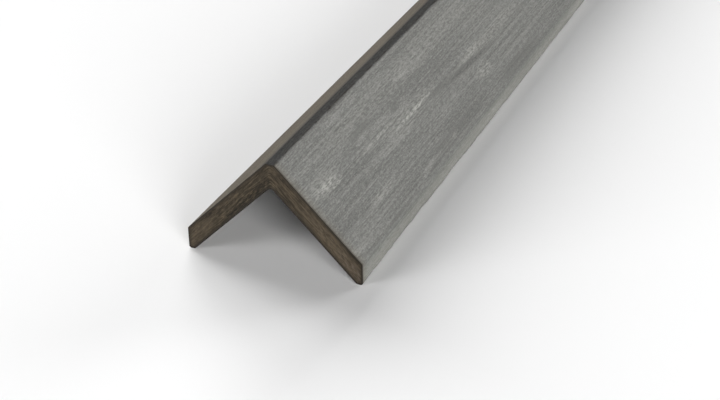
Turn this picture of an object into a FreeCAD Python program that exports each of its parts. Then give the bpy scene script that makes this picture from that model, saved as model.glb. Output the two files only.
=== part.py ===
import FreeCAD, Part
import math
import os

from FreeCAD import Vector

# Corner guard moulding: an extruded right-angle trim in one piece, sawn square at both ends.
# It stands like a tent on the two legs' feet, with its outside corner, the nose, upwards.
# X runs across the section, Y along the stock and Z up. The origin is on the floor, mid-length.

# Driving dimensions, in millimetres
LENGTH = 1220.0  # stock length of a guard
LEG = 50.0  # each leg, from the sharp outside corner to the point of the leg
WALL = 7.0  # thickness of both legs
NOSE_CHAMFER = 2.1  # how far the flat on the nose cuts back along each leg
FOOT_LAND = 2.2  # flat under the point of each leg, measured before its corners are rounded
NOSE_EASE = 0.5  # radius on both edges of the nose flat
SHOULDER_EASE = 0.9  # radius where a leg's outside face turns down into the tip bevel
POINT_ROUND = 0.8  # radius between the tip bevel and the foot
HEEL_EASE = 1.2  # radius between the foot and the inside face
INSIDE_FILLET = 1.5  # radius in the inside corner

# The tip of each leg is cut by two bevels at 45 degrees to the leg. In the standing pose the outer
# one is plumb and the inner one, the foot, is level. Together they take up the whole wall.
ROOT_TWO = math.sqrt(2.0)
FOOT_BEVEL = FOOT_LAND / ROOT_TWO
TIP_BEVEL = WALL - FOOT_BEVEL
CORNER_HEIGHT = (LEG + TIP_BEVEL) / ROOT_TWO  # sharp outside corner above the floor


def section_point(along_leg, into_wall):
    """A point of the right leg, given along the leg from the sharp outside corner and into its wall."""
    across = (along_leg - into_wall) / ROOT_TWO
    down = (along_leg + into_wall) / ROOT_TWO
    return Vector(across, -LENGTH / 2, CORNER_HEIGHT - down)


def mirrored(point):
    """The same point on the left leg."""
    return Vector(-point.x, point.y, point.z)


def section_corners():
    """The section's sharp corners in order round the outline, each with the radius that rounds it."""
    right = [
        (section_point(NOSE_CHAMFER, 0.0), NOSE_EASE),
        (section_point(LEG - TIP_BEVEL, 0.0), SHOULDER_EASE),
        (section_point(LEG, TIP_BEVEL), POINT_ROUND),
        (section_point(LEG - FOOT_BEVEL, WALL), HEEL_EASE),
    ]
    inside_corner = (section_point(WALL, WALL), INSIDE_FILLET)
    left = [(mirrored(point), radius) for point, radius in reversed(right)]
    return right + [inside_corner] + left


def corner_arc(before, corner, after, radius):
    """The arc of that radius that is tangent to both sides of a corner."""
    side_in = (before - corner).normalize()
    side_out = (after - corner).normalize()
    half_angle = side_in.getAngle(side_out) / 2
    reach = radius / math.tan(half_angle)
    depth = radius / math.sin(half_angle) - radius
    middle = corner + (side_in + side_out).normalize() * depth
    return Part.Arc(corner + side_in * reach, middle, corner + side_out * reach)


def rounded_outline(corners):
    """A closed wire of straight sides joined by tangent arcs."""
    count = len(corners)
    arcs = []
    for i, (corner, radius) in enumerate(corners):
        before = corners[i - 1][0]
        after = corners[(i + 1) % count][0]
        arcs.append(corner_arc(before, corner, after, radius))
    edges = []
    for i, arc in enumerate(arcs):
        following = arcs[(i + 1) % count]
        edges.append(arc.toShape())
        edges.append(Part.LineSegment(arc.EndPoint, following.StartPoint).toShape())
    return Part.Wire(edges)


def corner_guard():
    """The whole moulding: its section drawn out along the stock."""
    section = Part.Face(rounded_outline(section_corners()))
    return section.extrude(Vector(0.0, LENGTH, 0.0))


os.makedirs("parts", exist_ok=True)
guard = corner_guard()
guard.exportStep("parts/corner_guard.step")
print("corner_guard valid", guard.isValid(), "volume", round(guard.Volume, 1), "box", guard.BoundBox)
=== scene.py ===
import math

import bpy
from mathutils import Matrix, Vector


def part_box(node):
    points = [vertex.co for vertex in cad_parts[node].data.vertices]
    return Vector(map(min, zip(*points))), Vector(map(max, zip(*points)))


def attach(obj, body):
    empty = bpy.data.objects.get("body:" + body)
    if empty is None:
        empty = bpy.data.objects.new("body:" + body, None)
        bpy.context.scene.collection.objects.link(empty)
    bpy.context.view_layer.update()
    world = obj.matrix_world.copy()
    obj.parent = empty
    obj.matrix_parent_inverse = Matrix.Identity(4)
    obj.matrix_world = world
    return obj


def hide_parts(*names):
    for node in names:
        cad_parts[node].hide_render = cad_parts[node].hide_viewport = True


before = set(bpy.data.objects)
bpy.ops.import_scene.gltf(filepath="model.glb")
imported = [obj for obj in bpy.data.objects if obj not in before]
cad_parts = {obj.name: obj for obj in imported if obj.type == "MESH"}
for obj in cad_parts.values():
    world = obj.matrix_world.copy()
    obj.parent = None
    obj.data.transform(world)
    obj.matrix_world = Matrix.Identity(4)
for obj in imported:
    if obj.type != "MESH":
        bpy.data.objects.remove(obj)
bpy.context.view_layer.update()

mm = 0.001
rootTwo = math.sqrt(2)
closeBy = 0.01 * mm      # places this near to each other are the same
onFace = 0.05 * mm       # a point this near to a face lies on it


# colours are picked as sRGB hex and turned to linear here
def linear(hexColour):
    parts = [int(hexColour[i:i + 2], 16) / 255 for i in (1, 3, 5)]
    return tuple(c / 12.92 if c <= 0.04045 else ((c + 0.055) / 1.055) ** 2.4 for c in parts) + (1.0,)


# one node, its settings, and its inputs as plain values or as sockets to link from
def put(tree, kind, inputs=None, **settings):
    made = tree.nodes.new(kind)
    for name, value in settings.items():
        setattr(made, name, value)
    for socket, value in (inputs or {}).items():
        if isinstance(value, bpy.types.NodeSocket):
            tree.links.new(value, made.inputs[socket])
        else:
            made.inputs[socket].default_value = value
    return made


# select by place: the test gets a vertex's place, an edge's two ends, or a face's centre and normal
def pick(piece, kind, test):
    bpy.ops.object.mode_set(mode="EDIT")
    bpy.ops.mesh.select_mode(type=kind)
    bpy.ops.mesh.select_all(action="DESELECT")
    bpy.ops.object.mode_set(mode="OBJECT")
    mesh = piece.data
    if kind == "VERT":
        for v in mesh.vertices:
            v.select = test(v.co)
    elif kind == "EDGE":
        for e in mesh.edges:
            e.select = test(*[mesh.vertices[i].co for i in e.vertices])
    else:
        for f in mesh.polygons:
            f.select = test(f.center, f.normal)
    bpy.ops.object.mode_set(mode="EDIT")


def onSpot(*spots):
    return lambda co: any((co - Vector(s)).length < closeBy for s in spots)


# the moulding

guard = {
    "name": "corner_guard_moulding",
    "wall": 7.0 * mm,
    "noseChamfer": 2.1 * mm,
    "noseEase": 0.5 * mm,
    "shoulderEase": 0.9 * mm,
    "pointRound": 0.8 * mm,
    "heelEase": 1.2 * mm,
    "insideFillet": 1.5 * mm,
    "faceColumns": 76,        # cuts across each outside face, about 0.55 mm apart
    "bevelColumns": 8,
    "noseColumns": 4,
    "rows": (19, 19),         # two rounds of cuts along the stock, about 3 mm apart in the end
    "straightFrom": 1.5 * mm,     # an edge longer than this is a straight side and not a step of an arc
    "middleWithin": 1.0 * mm,     # its middle lies this near to where it is looked for
    "capRim": 0.5 * mm,       # dark skin that shows as a ring on the sawn end
    "coreDrop": 0.06 * mm,    # the saw leaves the core a little lower than its skin
    # relief: width, length and depth of a mark in mm, octaves, where it is, which grey level stays put,
    # and the noise's contrast and brightness
    "relief": {
        "waves": (12, 200, 0.16, 1, "grained", 0.55, 1, 1),
        "furrows": (2.2, 40, 0.10, 2, "grained", 0.55, 1, 1),
        "pits": (1.2, 9, 0.09, 1, "grained", 0.55, 1, 1),
        "chips": (2.5, 6, 0.4, 2, "worn", 1.0, 4, 1.3),
    },
    "bevelShare": 0.45,
    "noseShare": 0.35,
    "wornRise": 2.0 * mm,     # how far the worn lower edge reaches up a bevel
    "wornFrom": 2.0 * mm,     # and how far it stays from the sawn ends
    "insideWithin": 0.5 * mm,     # faces this near to the inside stay unbrushed
    "footWithin": 0.3 * mm,       # and so do those this near to the floor
    "endFacing": 0.7,             # a normal that runs along the stock by more than this is a sawn end's
    "smoothAngle": 30,
}

boxLow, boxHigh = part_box("corner_guard")
halfWidth = boxHigh.x
nearEnd = boxLow.y
cornerHeight = boxHigh.z + guard["noseChamfer"] / rootTwo     # sharp outside corner above the floor
leg = (cornerHeight + halfWidth) / rootTwo
tipBevel = (cornerHeight - halfWidth) / rootTwo
footBevel = guard["wall"] - tipBevel
shoulderHeight = cornerHeight - halfWidth


# a spot of the section, given along the leg from the sharp corner and into its wall
def sectionSpot(along, into, side=1):
    return Vector((side * (along - into) / rootTwo, nearEnd, cornerHeight - (along + into) / rootTwo))


def intoWall(co):
    return (cornerHeight - co.z - abs(co.x)) / rootTwo


def makeSection():
    wall = guard["wall"]
    bpy.ops.object.select_all(action="DESELECT")
    # one leg as a slab that runs past its corner and past its tip
    bpy.ops.mesh.primitive_plane_add(size=1, location=sectionSpot(leg / 2, wall / 2))
    piece = bpy.context.object
    piece.name = guard["name"]
    piece.data.name = guard["name"]
    piece.scale = (leg + 4 * wall, wall, 1)
    piece.rotation_euler = (math.pi / 2, math.pi / 4, 0)
    bpy.ops.object.transform_apply(location=True, rotation=True, scale=True)
    # cut it at the mitre, the nose flat, the plumb tip bevel and the level foot
    for place, normal in (
        ((0, 0, 0), (-1, 0, 0)),
        ((0, 0, boxHigh.z), (0, 0, 1)),
        ((halfWidth, 0, 0), (1, 0, 0)),
        ((0, 0, boxLow.z), (0, 0, -1)),
    ):
        bpy.ops.object.mode_set(mode="EDIT")
        bpy.ops.mesh.select_all(action="SELECT")
        bpy.ops.mesh.bisect(plane_co=place, plane_no=normal, clear_outer=True)
        bpy.ops.object.mode_set(mode="OBJECT")
    # the other leg is its mirror image, and the seam between them goes
    mirror = piece.modifiers.new("otherLeg", "MIRROR")
    mirror.merge_threshold = closeBy
    bpy.ops.object.modifier_apply(modifier=mirror.name)
    pick(piece, "EDGE", lambda a, b: abs(a.x) + abs(b.x) < closeBy)
    bpy.ops.mesh.dissolve_edges(use_verts=False)
    pick(piece, "VERT", onSpot((0, nearEnd, boxHigh.z)))
    bpy.ops.mesh.dissolve_verts()
    bpy.ops.object.mode_set(mode="OBJECT")
    return piece


def roundCorners(piece):
    wall = guard["wall"]
    # along, into, radius, how far the outline turns, steps in the arc
    corners = [
        (guard["noseChamfer"], 0, guard["noseEase"], math.pi / 4, 4),
        (leg - tipBevel, 0, guard["shoulderEase"], math.pi / 4, 5),
        (leg, tipBevel, guard["pointRound"], math.pi / 2, 6),
        (leg - footBevel, wall, guard["heelEase"], math.pi / 4, 5),
        (wall, wall, guard["insideFillet"], math.pi / 2, 8),
    ]
    for along, into, radius, turn, steps in corners:
        pick(piece, "VERT", onSpot(sectionSpot(along, into), sectionSpot(along, into, -1)))
        reach = radius * math.tan(turn / 2)
        bpy.ops.mesh.bevel(
            affect="VERTICES",
            offset_type="OFFSET",
            offset=reach,
            segments=steps,
            profile=0.5,
        )
        bpy.ops.object.mode_set(mode="OBJECT")


def drawOut(piece):
    # finer columns on what gets a grain, one edge of the outline at a time
    cuts = [(Vector((0, nearEnd, boxHigh.z)), guard["noseColumns"])]
    for side in (1, -1):
        faceMiddle = (guard["noseChamfer"] + leg - tipBevel) / 2
        cuts.append((sectionSpot(faceMiddle, 0, side), guard["faceColumns"]))
        cuts.append((sectionSpot(leg - tipBevel / 2, tipBevel / 2, side), guard["bevelColumns"]))
    straight = guard["straightFrom"]
    aside = guard["middleWithin"]
    for spot, count in cuts:
        pick(piece, "EDGE", lambda a, b: (a - b).length > straight and ((a + b) / 2 - spot).length < aside)
        bpy.ops.mesh.subdivide(number_cuts=count)
        bpy.ops.object.mode_set(mode="OBJECT")
    # the outline drawn out to the stock's length, then cut into rows
    bpy.ops.object.mode_set(mode="EDIT")
    bpy.ops.mesh.select_mode(type="FACE")
    bpy.ops.mesh.select_all(action="SELECT")
    bpy.ops.mesh.extrude_region_move(TRANSFORM_OT_translate={"value": (0, boxHigh.y - boxLow.y, 0)})
    bpy.ops.object.mode_set(mode="OBJECT")
    for count in guard["rows"]:
        pick(piece, "EDGE", lambda a, b: abs(a.y - b.y) > straight)
        bpy.ops.mesh.subdivide(number_cuts=count)
        bpy.ops.object.mode_set(mode="OBJECT")
    bpy.ops.object.mode_set(mode="EDIT")
    bpy.ops.mesh.select_all(action="SELECT")
    bpy.ops.mesh.normals_make_consistent(inside=False)
    bpy.ops.object.mode_set(mode="OBJECT")


# the brush leaves shallow relief on the outside faces and handling wears the bevels' lower edges, while the
# feet and the inside stay true
def brushFaces(piece):
    grained = piece.vertex_groups.new(name="grained")
    worn = piece.vertex_groups.new(name="worn")
    for v in piece.data.vertices:
        offEnd = boxHigh.y - abs(v.co.y)
        onPoint = abs(v.co.x) > halfWidth - guard["pointRound"] - closeBy
        if onPoint and v.co.z < guard["wornRise"] and offEnd > guard["wornFrom"]:
            worn.add([v.index], 1 - v.co.z / guard["wornRise"], "REPLACE")
        if v.co.z > boxHigh.z - onFace:
            grained.add([v.index], guard["noseShare"], "REPLACE")
        elif intoWall(v.co) < onFace:
            grained.add([v.index], 1.0, "REPLACE")
        elif abs(v.co.x) > halfWidth - onFace and v.co.z > guard["pointRound"]:
            grained.add([v.index], guard["bevelShare"], "REPLACE")
    for name, mark in guard["relief"].items():
        width, length, depth, octaves, group, level, contrast, brightness = mark
        bpy.ops.object.empty_add(type="PLAIN_AXES")
        stretch = bpy.context.object
        stretch.scale = (width * mm, length * mm, width * mm)
        texture = bpy.data.textures.new(name, "CLOUDS")
        texture.noise_scale = 1.0
        texture.noise_depth = octaves
        texture.contrast = contrast
        texture.intensity = brightness
        texture.use_clamp = True      # so that the chips only go inwards
        wear = piece.modifiers.new(name, "DISPLACE")
        wear.texture = texture
        wear.texture_coords = "OBJECT"
        wear.texture_coords_object = stretch
        wear.vertex_group = group
        wear.mid_level = level
        wear.strength = depth * mm
        bpy.context.view_layer.update()
        bpy.context.view_layer.objects.active = piece
        bpy.ops.object.modifier_apply(modifier=wear.name)
        bpy.data.objects.remove(stretch)
        bpy.data.textures.remove(texture)
    piece.vertex_groups.clear()


# finishes

compositeIor = 1.5       # plastics such as polyethylene bound with wood flour are near this


# stretched noise for each grain in a list: width and length in mm, octaves, and a shift that sets it apart
def grainSockets(tree, place, grains):
    sockets = {}
    for name, (width, length, octaves, shift) in grains.items():
        stretch = put(tree, "ShaderNodeMapping", {
            "Vector": place,
            "Location": (shift, shift, shift),
            "Scale": (1 / (width * mm), 1 / (length * mm), 1 / (width * mm)),
        })
        noise = put(tree, "ShaderNodeTexNoise", {
            "Vector": stretch.outputs[0],
            "Scale": 1.0,
            "Detail": octaves,
            "Roughness": 0.6,      # how strong each finer octave is
        })
        sockets[name] = noise.outputs["Fac"]
    return sockets


# each layer lays its colour over the ones below, as its grain goes from one level to another
# (a mix of colours has its share in socket 0, its colours in 6 and 7, and its result in 2)
def layColours(tree, below, sockets, layers):
    for grain, low, high, share, colour in layers:
        amount = put(tree, "ShaderNodeMapRange", {
            "Value": sockets[grain],
            "From Min": low,
            "From Max": high,
            "To Max": share,
        })
        laid = put(tree, "ShaderNodeMix", {
            0: amount.outputs[0],
            6: below,
            7: linear(colour),
        }, data_type="RGBA")
        below = laid.outputs[2]
    return below


marking = {
    "wholeLevel": 0.4,        # where the grain is below this, a mark is whole
    "thinLevel": 0.58,        # and where it is above this, the thin share is left of it
    "thinShare": 0.12,
    "fullFrom": 0.6,          # how far in from its rim a mark is full, as a share of its reach
}


# soft oval marks at set places, cut up by a short grain: middle and reach in mm, drift, share and colour
def layMarks(tree, below, place, grain, marks):
    whole = put(tree, "ShaderNodeMapRange", {
        "Value": grain,
        "From Min": marking["wholeLevel"],
        "From Max": marking["thinLevel"],
        "To Min": 1.0,
        "To Max": marking["thinShare"],
    })
    for middle, reach, drift, share, colour in marks:
        local = put(tree, "ShaderNodeMapping", {
            "Vector": place,
            "Location": Vector(middle) * mm,
            "Rotation": (0, 0, drift),
            "Scale": Vector(reach) * mm,
        }, vector_type="TEXTURE")
        oval = put(tree, "ShaderNodeTexGradient", {"Vector": local.outputs[0]}, gradient_type="SPHERICAL")
        amount = put(tree, "ShaderNodeMapRange", {
            "Value": oval.outputs["Fac"],
            "From Max": marking["fullFrom"],
            "To Max": share,
        })
        cut = put(tree, "ShaderNodeMath", {0: amount.outputs[0], 1: whole.outputs[0]}, operation="MULTIPLY")
        laid = put(tree, "ShaderNodeMix", {
            0: cut.outputs[0],
            6: below,
            7: linear(colour),
        }, data_type="RGBA")
        below = laid.outputs[2]
    return below


def newFinish(name):
    finish = bpy.data.materials.new(name)
    finish.use_nodes = True
    finish.node_tree.nodes.clear()
    return finish, finish.node_tree


# wood-plastic composite, extruded and then wire brushed: matt grey, combed lengthwise into fine pale and
# dark fibres, with whitened patches where the brush bit deeper and a charcoal nose that it hardly touched
brushed = {
    "name": "wood_plastic_composite_brushed",
    "base": "#7b7c79",
    # grains: width and length in mm, octaves, shift. Real scratches and grit are about half as wide, and
    # are drawn coarser so that they show
    "grains": {
        "cloud": (7, 80, 2, 3.1),
        "streak": (1.2, 60, 3, 7.7),
        "fibre": (0.5, 70, 2, 15.8),
        "dash": (0.5, 2.6, 2, 1.3),
        "grit": (0.45, 0.8, 1, 12.6),
        "patch": (6, 34, 3, 21.4),
        "ragged": (0.8, 6, 3, 9.9),
        "chips": (1.6, 5, 2, 33.2),
    },
    # layers: grain, the level where the colour begins and the one where it is full, share, colour
    "layers": [
        ("cloud", 0.48, 0.68, 0.42, "#6c6c6a"),
        ("cloud", 0.48, 0.3, 0.42, "#888884"),
        ("streak", 0.5, 0.7, 0.5, "#666663"),
        ("streak", 0.48, 0.3, 0.45, "#8d8d89"),
        ("fibre", 0.5, 0.68, 0.55, "#60605d"),
        ("fibre", 0.48, 0.32, 0.45, "#92928e"),
        ("dash", 0.5, 0.66, 0.38, "#5a5a57"),
        ("dash", 0.48, 0.34, 0.3, "#9a9a96"),
        ("grit", 0.52, 0.7, 0.3, "#a7a7a3"),
        ("grit", 0.46, 0.3, 0.26, "#595956"),
        ("whitened", 0.05, 0.6, 0.45, "#b8b8b3"),
    ],
    "patchLevels": (0.56, 0.8),     # where a whitened patch begins and where it is full
    # worn pale marks and dark veins on the right leg: from the ridge, from the near end, reach across and
    # along in mm, drift, share, colour
    "marks": [
        (18, 12, 4.5, 13, 0, 0.3, "#acaca6"),
        (19, 13, 1.5, 10, 0, 0.5, "#bcbcb6"),
        (20.8, 18, 0.8, 7, 0, 0.52, "#bcbcb6"),
        (20.8, 51, 0.9, 19, 0, 0.5, "#b4b4ae"),
        (24, 82, 0.75, 24, 0, 0.62, "#bcbcb6"),
        (23, 80, 3.2, 27, 0, 0.3, "#acaca6"),
        (27.4, 126, 1.7, 40, -0.05, 0.85, "#525250"),
        (10.5, 92, 5.5, 110, 0, 0.2, "#a8a8a2"),
        (26, 160, 2.4, 60, 0, 0.3, "#a8a8a2"),
        (42, 163, 3, 32, 0, 0.5, "#5a5a57"),
        (25, 137, 2, 13, 0, 0.35, "#b0b0aa"),
        (33.5, 137, 3.2, 10, 0, 0.45, "#b0b0aa"),
        (34.5, 33, 1.8, 12, 0, 0.4, "#b0b0aa"),
        (41, 90, 1.2, 4, 0, 0.4, "#b0b0aa"),
        (14.5, 48, 2.2, 12, 0, 0.5, "#5c5c59"),
        (18.2, 73, 1.6, 5, 0, 0.5, "#5a5a57"),
        (41, 95, 4, 40, 0, 0.3, "#5e5e5b"),
        (43.6, 26, 0.8, 26, 0, 0.6, "#585855"),
        (42.6, 68, 1.2, 9, 0, 0.5, "#5a5a57"),
    ],
    "markDepth": 1000,         # mm, so that they go right through from above
    # zones: along what they are measured, where they start and where they are full, share, colour and blend
    "zones": [
        # painted shade on the bevel from its shoulder down, and the bevel paler towards its foot
        ("offRidge", halfWidth - 0.5 * mm, halfWidth - 0.1 * mm, 0.25, "#5a5a57", "MIX"),
        ("up", shoulderHeight, shoulderHeight * 0.45, 1.0, "#585850", "SCREEN"),
        # brown dust next to the sawn ends, and their dark arris
        ("offMiddle", boxHigh.y - 4 * mm, boxHigh.y, 0.35, "#6b6253", "MIX"),
        ("offMiddle", boxHigh.y - 0.9 * mm, boxHigh.y, 0.75, "#43392d", "MIX"),
        # painted shade: the left leg is tinted warmer and a little darker for the shade it lies in
        ("across", -1 * mm, -2 * mm, 1.0, "#f6eee2", "MULTIPLY"),
    ],
    "wornLayers": [
        ("worn", 0.34, 0.46, 0.6, "#4a4844"),
    ],
    "wornRise": 1.8 * mm,      # how far up a bevel its dark chips reach
    "leftPaintedShade": 1.0,          # share of painted shade a few mm down from the nose on this side
    "leftPaintedShadeWidth": 8 * mm,
    "noseBase": "#424548",
    "noseLayers": [
        ("streak", 0.5, 0.7, 0.6, "#383837"),
        ("streak", 0.48, 0.3, 0.5, "#545453"),
        ("dash", 0.5, 0.66, 0.4, "#2e2e2d"),
        ("grit", 0.52, 0.7, 0.4, "#636361"),
        ("chip", 0.36, 0.52, 0.9, "#282523"),
    ],
    "noseWidth": 1.65 * mm,    # from the ridge to the charcoal's edge
    "chipsFrom": -0.2 * mm,    # its dark chips begin here and grow towards its right edge
    "noseRagged": 0.9 * mm,    # how far the edge wanders
    "noseSoft": 0.35 * mm,     # and how soft it is
    "roughness": (0.72, 0.9),
    "roughLevels": (0.3, 0.7),     # the dashes' levels that give the one and the other
    "specular": 0.3,
    "bumpStrength": 0.5,
    "bumpDepth": 0.06 * mm,
}


def brushedFinish():
    finish, tree = newFinish(brushed["name"])
    place = put(tree, "ShaderNodeTexCoord").outputs["Object"]
    axes = put(tree, "ShaderNodeSeparateXYZ", {"Vector": place})
    across = axes.outputs["X"]
    up = axes.outputs["Z"]
    offRidge = put(tree, "ShaderNodeMath", {0: across}, operation="ABSOLUTE").outputs[0]
    offMiddle = put(tree, "ShaderNodeMath", {0: axes.outputs["Y"]}, operation="ABSOLUTE").outputs[0]
    grain = grainSockets(tree, place, brushed["grains"])
    # dark chips along the nose's right edge
    onEdge = put(tree, "ShaderNodeMapRange", {
        "Value": across,
        "From Min": brushed["chipsFrom"],
        "From Max": brushed["noseWidth"],
    })
    chip = put(tree, "ShaderNodeMath", {0: onEdge.outputs[0], 1: grain["chips"]}, operation="MULTIPLY")
    grain["chip"] = chip.outputs[0]
    # whitened patches glitter, so they are cut up by the grit
    low, high = brushed["patchLevels"]
    inPatch = put(tree, "ShaderNodeMapRange", {"Value": grain["patch"], "From Min": low, "From Max": high})
    glitter = put(tree, "ShaderNodeMath", {0: inPatch.outputs[0], 1: grain["grit"]}, operation="MULTIPLY")
    grain["whitened"] = glitter.outputs[0]
    face = layColours(tree, linear(brushed["base"]), grain, brushed["layers"])
    marks = []
    for fromRidge, fromEnd, width, length, drift, share, tone in brushed["marks"]:
        middle = (fromRidge / rootTwo, nearEnd / mm + fromEnd, 0)
        marks.append((middle, (width / rootTwo, length, brushed["markDepth"]), drift, share, tone))
    face = layMarks(tree, face, place, grain["dash"], marks)
    measures = {"across": across, "up": up, "offRidge": offRidge, "offMiddle": offMiddle}
    for measure, start, stop, share, colour, blend in brushed["zones"]:
        amount = put(tree, "ShaderNodeMapRange", {
            "Value": measures[measure],
            "From Min": start,
            "From Max": stop,
            "To Max": share,
        })
        face = put(tree, "ShaderNodeMix", {
            0: amount.outputs[0],
            6: face,
            7: linear(colour),
        }, data_type="RGBA", blend_type=blend).outputs[2]
    # dark chips along the bevels' lower edges
    lowDown = put(tree, "ShaderNodeMapRange", {
        "Value": up,
        "From Min": boxLow.z + brushed["wornRise"],
        "From Max": boxLow.z,
    })
    worn = put(tree, "ShaderNodeMath", {0: lowDown.outputs[0], 1: grain["chips"]}, operation="MULTIPLY")
    face = layColours(tree, face, {"worn": worn.outputs[0]}, brushed["wornLayers"])
    # the charcoal nose with a ragged edge on both sides, and painted shade below it on the left leg
    nose = layColours(tree, linear(brushed["noseBase"]), grain, brushed["noseLayers"])
    wander = put(tree, "ShaderNodeMath", {
        0: grain["ragged"],
        1: brushed["noseRagged"],
        2: offRidge,
    }, operation="MULTIPLY_ADD")
    edge = brushed["noseWidth"] + brushed["noseRagged"] / 2
    onNose = put(tree, "ShaderNodeMapRange", {
        "Value": wander.outputs[0],
        "From Min": edge + brushed["noseSoft"],
        "From Max": edge - brushed["noseSoft"],
    })
    # painted shade: the left leg darkened towards the nose
    onLeft = put(tree, "ShaderNodeMapRange", {
        "Value": across,
        "From Min": -brushed["leftPaintedShadeWidth"],
        "From Max": 0.0,
        "To Max": brushed["leftPaintedShade"],
    })
    leftOnly = put(tree, "ShaderNodeMath", {0: across, 1: 0.0}, operation="LESS_THAN")
    paintedShade = put(tree, "ShaderNodeMath", {
        0: onLeft.outputs[0],
        1: leftOnly.outputs[0],
    }, operation="MULTIPLY")
    charcoalAndShade = put(tree, "ShaderNodeMath", {
        0: onNose.outputs[0],
        1: paintedShade.outputs[0],
    }, operation="MAXIMUM")
    # the nose's charcoal together with the painted shade on the left leg, laid over the face
    colour = put(tree, "ShaderNodeMix", {
        0: charcoalAndShade.outputs[0],
        6: face,
        7: nose,
    }, data_type="RGBA").outputs[2]
    smooth, rough = brushed["roughness"]
    low, high = brushed["roughLevels"]
    roughness = put(tree, "ShaderNodeMapRange", {
        "Value": grain["dash"],
        "From Min": low,
        "From Max": high,
        "To Min": smooth,
        "To Max": rough,
    })
    height = put(tree, "ShaderNodeMath", {0: grain["dash"], 1: grain["fibre"]}, operation="ADD")
    bump = put(tree, "ShaderNodeBump", {
        "Height": height.outputs[0],
        "Strength": brushed["bumpStrength"],
        "Distance": brushed["bumpDepth"],
    }, invert=True)
    shader = put(tree, "ShaderNodeBsdfPrincipled", {
        "Base Color": colour,
        "Roughness": roughness.outputs[0],
        "Normal": bump.outputs[0],
        "IOR": compositeIor,
        "Specular IOR Level": brushed["specular"],
    })
    put(tree, "ShaderNodeOutputMaterial", {"Surface": shader.outputs[0]})
    return finish


# the same composite sawn across: brown wood flour in streaks that flowed round the corner in the die
sawn = {
    "name": "wood_plastic_composite_sawn",
    "base": "#4e463a",
    "flowRound": 0.5 * mm,      # how softly the streaks turn the corner
    # wood flour is finer than its fibres here, which are drawn coarser so that they show
    "grains": {
        "band": (1.7, 16, 2, 2.2),
        "streak": (0.5, 7, 3, 6.1),
        "mottle": (1.3, 2.4, 2, 9.3),
        "fibre": (0.35, 1.9, 3, 14.9),
    },
    "layers": [
        ("band", 0.45, 0.7, 0.6, "#383128"),
        ("band", 0.45, 0.25, 0.5, "#5a5042"),
        ("streak", 0.5, 0.64, 0.75, "#29241d"),
        ("streak", 0.48, 0.33, 0.7, "#6e614e"),
        ("mottle", 0.5, 0.68, 0.4, "#2f2a23"),
        ("mottle", 0.46, 0.3, 0.35, "#6a5e4f"),
        ("fibre", 0.53, 0.7, 0.5, "#766852"),
        ("fibre", 0.47, 0.3, 0.5, "#27221c"),
    ],
    # pale and dark flow marks on the near end: depth, along the legs, reach both ways in mm, share, colour
    "marks": [
        (4.0, 31, 3.9, 22, 0.68, "#7a6d5b"),
        (4.8, 43, 3.6, 13, 0.45, "#84776b"),
        (4.6, -40, 3.9, 14, 0.34, "#7c6e5c"),
        (5.7, -13, 2.3, 19, 1.0, "#292620"),
    ],
    "markDepth": 10,            # mm, so that the far end has none
    "skinColour": "#332e27",
    "skinShare": 0.75,
    "skinFade": (0.3 * mm, 1.3 * mm),     # full up to the one depth and gone at the other
    "roughness": 0.85,
    "specular": 0.25,
    "bumpStrength": 0.5,
    "bumpDepth": 0.06 * mm,
}


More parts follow.
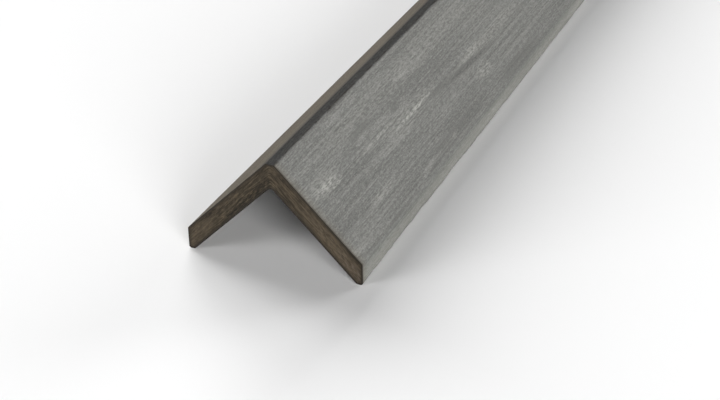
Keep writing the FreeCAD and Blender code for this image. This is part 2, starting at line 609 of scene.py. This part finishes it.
def sawnFinish():
    finish, tree = newFinish(sawn["name"])
    axes = put(tree, "ShaderNodeSeparateXYZ", {"Vector": put(tree, "ShaderNodeTexCoord").outputs["Object"]})
    across = axes.outputs["X"]
    up = axes.outputs["Z"]
    # depth below the outside face, rounded at the mitre, so that the streaks bend with the section
    squared = put(tree, "ShaderNodeMath", {
        0: across,
        1: across,
        2: sawn["flowRound"] ** 2,
    }, operation="MULTIPLY_ADD")
    soft = put(tree, "ShaderNodeMath", {0: squared.outputs[0]}, operation="SQRT")
    fall = put(tree, "ShaderNodeMath", {0: up, 1: soft.outputs[0]}, operation="ADD")
    drop = put(tree, "ShaderNodeMath", {0: cornerHeight, 1: fall.outputs[0]}, operation="SUBTRACT")
    into = put(tree, "ShaderNodeMath", {0: drop.outputs[0], 1: rootTwo}, operation="DIVIDE")
    along = put(tree, "ShaderNodeMath", {0: across, 1: rootTwo}, operation="MULTIPLY")
    flow = put(tree, "ShaderNodeCombineXYZ", {
        "X": into.outputs[0],
        "Y": along.outputs[0],
        "Z": axes.outputs["Y"],
    })
    grain = grainSockets(tree, flow.outputs[0], sawn["grains"])
    colour = layColours(tree, linear(sawn["base"]), grain, sawn["layers"])
    marks = []
    for depth, fromRidge, width, length, share, tone in sawn["marks"]:
        marks.append(((depth, fromRidge, nearEnd / mm), (width, length, sawn["markDepth"]), 0, share, tone))
    colour = layMarks(tree, colour, flow.outputs[0], grain["fibre"], marks)
    # darker and denser towards the skin all round
    offRidge = put(tree, "ShaderNodeMath", {0: across}, operation="ABSOLUTE")
    nearest = into.outputs[0]
    for limit, value in (
        (guard["wall"], into.outputs[0]),
        (halfWidth, offRidge.outputs[0]),
        (boxHigh.z, up),
    ):
        left = put(tree, "ShaderNodeMath", {0: limit, 1: value}, operation="SUBTRACT")
        nearest = put(tree, "ShaderNodeMath", {
            0: nearest,
            1: left.outputs[0],
        }, operation="MINIMUM").outputs[0]
    nearest = put(tree, "ShaderNodeMath", {0: nearest, 1: up}, operation="MINIMUM").outputs[0]
    low, high = sawn["skinFade"]
    dense = put(tree, "ShaderNodeMapRange", {
        "Value": nearest,
        "From Min": high,
        "From Max": low,
        "To Max": sawn["skinShare"],
    })
    colour = put(tree, "ShaderNodeMix", {
        0: dense.outputs[0],
        6: colour,
        7: linear(sawn["skinColour"]),
    }, data_type="RGBA").outputs[2]
    bump = put(tree, "ShaderNodeBump", {
        "Height": grain["fibre"],
        "Strength": sawn["bumpStrength"],
        "Distance": sawn["bumpDepth"],
    })
    shader = put(tree, "ShaderNodeBsdfPrincipled", {
        "Base Color": colour,
        "Roughness": sawn["roughness"],
        "Normal": bump.outputs[0],
        "IOR": compositeIor,
        "Specular IOR Level": sawn["specular"],
    })
    put(tree, "ShaderNodeOutputMaterial", {"Surface": shader.outputs[0]})
    return finish


# the dense skin of the extrusion where the saw went through it, and the unbrushed inside: plastic rich,
# dark and slightly satin, with faint die lines along the stock
skin = {
    "rimName": "wood_plastic_composite_sawn_skin",
    "insideName": "wood_plastic_composite_extruded",
    "rimBase": "#332e27",
    "rimRoughness": 0.7,
    "insideBase": "#4b463f",
    "insideRoughness": 0.6,
    "specular": 0.3,
    "grains": {
        "dieLine": (0.6, 300, 2, 4.4),
        "mottle": (5, 18, 3, 8.8),
        "speck": (0.4, 1.2, 3, 17.3),
    },
    "layers": [
        ("mottle", 0.45, 0.7, 0.3, "#413c35"),
        ("dieLine", 0.5, 0.7, 0.35, "#332f2a"),
        ("speck", 0.6, 0.75, 0.4, "#6b6459"),
    ],
    "bumpStrength": 0.4,
    "bumpDepth": 0.03 * mm,
}


def skinFinish(name, base, roughness):
    finish, tree = newFinish(name)
    place = put(tree, "ShaderNodeTexCoord").outputs["Object"]
    grain = grainSockets(tree, place, skin["grains"])
    colour = layColours(tree, linear(base), grain, skin["layers"])
    bump = put(tree, "ShaderNodeBump", {
        "Height": grain["dieLine"],
        "Strength": skin["bumpStrength"],
        "Distance": skin["bumpDepth"],
    })
    shader = put(tree, "ShaderNodeBsdfPrincipled", {
        "Base Color": colour,
        "Roughness": roughness,
        "Normal": bump.outputs[0],
        "IOR": compositeIor,
        "Specular IOR Level": skin["specular"],
    })
    put(tree, "ShaderNodeOutputMaterial", {"Surface": shader.outputs[0]})
    return finish


def dressFaces(piece):
    piece.data.materials.clear()
    for finish in (
        brushedFinish(),
        skinFinish(skin["insideName"], skin["insideBase"], skin["insideRoughness"]),
        skinFinish(skin["rimName"], skin["rimBase"], skin["rimRoughness"]),
        sawnFinish(),
    ):
        piece.data.materials.append(finish)
    # unbrushed: the inside faces and the feet
    inside = guard["wall"] - guard["insideWithin"]
    low = guard["footWithin"]
    endFacing = guard["endFacing"]
    pick(piece, "FACE", lambda co, n: abs(n.y) < endFacing and (intoWall(co) > inside or co.z < low))
    piece.active_material_index = 1
    bpy.ops.object.material_slot_assign()
    bpy.ops.object.mode_set(mode="OBJECT")
    # both sawn ends: a ring of skin, then the core
    pick(piece, "FACE", lambda co, n: abs(n.y) > endFacing)
    piece.active_material_index = 2
    bpy.ops.object.material_slot_assign()
    bpy.ops.mesh.inset(thickness=guard["capRim"], depth=-guard["coreDrop"], use_boundary=True)
    piece.active_material_index = 3
    bpy.ops.object.material_slot_assign()
    bpy.ops.object.mode_set(mode="OBJECT")


piece = makeSection()
roundCorners(piece)
print("section rounded,", len(piece.data.vertices), "points in its outline")
drawOut(piece)
print("drawn out to", round((boxHigh.y - boxLow.y) / mm), "mm")
brushFaces(piece)
print("faces brushed")
dressFaces(piece)
bpy.ops.object.select_all(action="DESELECT")
piece.select_set(True)
bpy.context.view_layer.objects.active = piece
bpy.ops.object.shade_smooth_by_angle(angle=math.radians(guard["smoothAngle"]))
piece.data.calc_loop_triangles()
print("dressed,", len(piece.data.loop_triangles), "triangles")

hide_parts("corner_guard")
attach(piece, "root")


# the floor, the light and the camera

studio = {
    "floorSize": 30.0,        # metres
    # painted board, quite matt: nothing shows on it but the shadow
    "floorName": "white_studio_board",
    "floorColour": "#f4f4f4",
    "floorRoughness": 0.95,
    # wide soft lamps: which way round from the right, how high, how wide, how strong, their colour and what
    # they light, so that the shadow on the floor and the shading of the faces are set apart
    "lamps": {
        "floorKey": (150, 26, 30, 2.42, "#ffffff", "floor"),
        "floorBack": (120, 16, 30, 2.9, "#ffffff", "floor"),
        "floorRim": (60, 12, 30, 1.73, "#ffffff", "floor"),
        "floorFill": (315, 12, 30, 3.66, "#ffffff", "floor"),
        "floorSide": (225, 16, 30, 1.86, "#ffffff", "floor"),
        "faceKey": (-25, 28, 70, 3.1, "#ffffff", "guard"),
        "faceFill": (160, 40, 70, 1.45, "#fff1e1", "guard"),
    },
    "roomLight": 0.015,
}


def makeFloor():
    bpy.ops.object.select_all(action="DESELECT")
    bpy.ops.mesh.primitive_plane_add(size=studio["floorSize"], location=(0, 0, boxLow.z))
    floor = bpy.context.object
    floor.name = "floor"
    finish, tree = newFinish(studio["floorName"])
    shader = put(tree, "ShaderNodeBsdfPrincipled", {
        "Base Color": linear(studio["floorColour"]),
        "Roughness": studio["floorRoughness"],
        "Specular IOR Level": 0.0,
    })
    put(tree, "ShaderNodeOutputMaterial", {"Surface": shader.outputs[0]})
    floor.data.materials.append(finish)
    return floor


def makeLight(floor, piece):
    lit = {}
    for name, thing in (("floor", floor), ("guard", piece)):
        lit[name] = bpy.data.collections.new("lit_" + name)
        lit[name].objects.link(thing)
    for name, (bearing, height, width, strength, colour, target) in studio["lamps"].items():
        turn = math.radians(bearing)
        rise = math.radians(height)
        bpy.ops.object.light_add(
            type="SUN",
            rotation=(math.pi / 2 - rise, 0, turn + math.pi / 2),
        )
        lamp = bpy.context.object
        lamp.name = name
        lamp.data.energy = strength
        lamp.data.color = linear(colour)[:3]
        lamp.data.angle = math.radians(width)
        lamp.light_linking.receiver_collection = lit[target]
    # a white room beyond the floor, which gives little light of its own
    world = bpy.data.worlds.new("white_room")
    bpy.context.scene.world = world
    world.use_nodes = True
    tree = world.node_tree
    tree.nodes.clear()
    seen = put(tree, "ShaderNodeLightPath").outputs["Is Camera Ray"]
    glow = put(tree, "ShaderNodeMapRange", {"Value": seen, "To Min": studio["roomLight"]})
    room = put(tree, "ShaderNodeBackground", {"Color": linear("#ffffff"), "Strength": glow.outputs[0]})
    put(tree, "ShaderNodeOutputWorld", {"Surface": room.outputs[0]})


view = {
    "focal": 78.35,           # mm
    "sensor": 36,
    "pitch": 29.783,          # degrees, and so are turn and roll
    "turn": 23.768,
    "roll": -0.983,
    "fromCorner": (201.0 * mm, -386.0 * mm, 233.6 * mm),     # from the near end's sharp outside corner
}


def makeCamera():
    lens = bpy.data.cameras.new("photo_view")
    lens.sensor_width = view["sensor"]
    lens.sensor_fit = "HORIZONTAL"
    lens.lens = view["focal"]
    lens.clip_end = 100
    camera = bpy.data.objects.new("photo_view", lens)
    bpy.context.scene.collection.objects.link(camera)
    turn = Matrix.Rotation(math.radians(view["turn"]), 4, "Z")
    tilt = Matrix.Rotation(math.radians(90 - view["pitch"]), 4, "X")
    roll = Matrix.Rotation(math.radians(view["roll"]), 4, "Z")
    spot = Vector((0, nearEnd, cornerHeight)) + Vector(view["fromCorner"])
    camera.matrix_world = Matrix.Translation(spot) @ turn @ tilt @ roll
    bpy.context.scene.camera = camera


floor = makeFloor()
makeLight(floor, piece)
makeCamera()
bpy.context.scene.view_settings.view_transform = "Standard"
print("floor, light and camera set")
